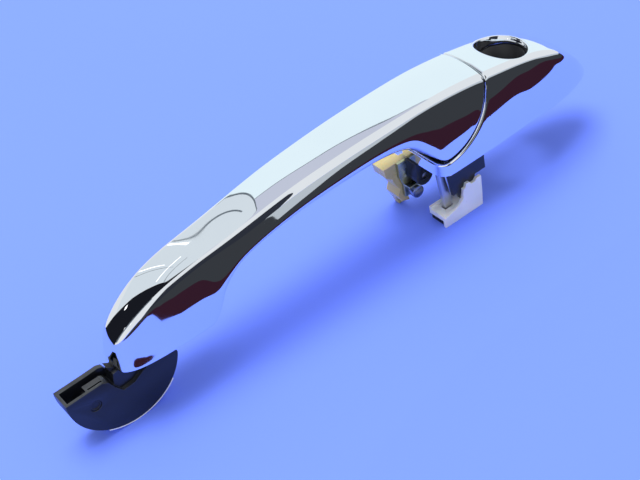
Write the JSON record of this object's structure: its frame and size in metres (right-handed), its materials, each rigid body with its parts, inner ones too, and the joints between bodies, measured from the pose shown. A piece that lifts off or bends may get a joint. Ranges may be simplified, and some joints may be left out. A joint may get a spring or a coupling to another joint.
{
  "type": "car exterior door handle",
  "caption": "Chrome pull-type car door handle: an arched grip that swings on a front hook beside a fixed cap with a key opening, on plastic carriers with rear legs.",
  "frame": {"origin": "on the key opening's axis, level with the outer door skin", "axes": "+Z away from the door along the key opening, +X backwards along the handle to the cap's tail, +Y across the handle"},
  "size_m": [0.2684, 0.0336, 0.0678],
  "materials": {
    "chrome_plate": "bright plate, polished",
    "lock_plastic": "fine moulded grain",
    "frame_plastic": "glass-filled nylon, satin",
    "core_plastic": "glass-filled nylon, dull",
    "gasket_rubber": "foam rubber, matt",
    "screw_steel": "zinc plated",
    "nut_brass": "turned",
    "zinc_strip": "yellow passivated",
    "wedge_plastic": "natural acetal, slightly waxy",
    "barrel_steel": "polished and blued",
    "shoe_plastic": "white acetal",
    "wear_tape": "white slide tape",
    "blade_steel": "stamped, bright zinc"
  },
  "bodies": {
    "cap": {"cap_shell": "chrome_plate", "key_bezel": "chrome_plate", "lock_tunnel": "lock_plastic", "cap_carrier": "frame_plastic", "cap_base_gasket": "gasket_rubber", "throat_gasket": "gasket_rubber", "carrier_screws": "screw_steel", "tail_nut": "nut_brass", "clip_plate": "zinc_strip", "clip_wedge": "wedge_plastic", "clip_screw": "screw_steel", "clip_barrel": "barrel_steel"},
    "grip": {"grip_outer_shell": "chrome_plate", "grip_back_plate": "chrome_plate", "grip_core": "core_plastic", "nose_gasket": "gasket_rubber", "pivot_hook": "frame_plastic", "hook_plug": "lock_plastic", "hook_wear_strip": "wear_tape", "hook_screws": "screw_steel", "pull_arm": "frame_plastic", "pull_blade": "blade_steel", "blade_rivets": "screw_steel", "arm_screws": "screw_steel", "arm_shoe": "shoe_plastic", "shoe_pin": "screw_steel", "shoe_bumper": "gasket_rubber", "toe_buffers": "gasket_rubber"}
  },
  "joints": [
    {"name": "grip_pull", "type": "hinge", "parent": "cap", "child": "grip", "pos_m": [-0.2005, 0, -0.0034], "axis": [0, -1, 0], "range_deg": [0, 7.5], "stiffness_Nm_per_rad": 1.2, "springref_deg": -20.05}
  ]
}
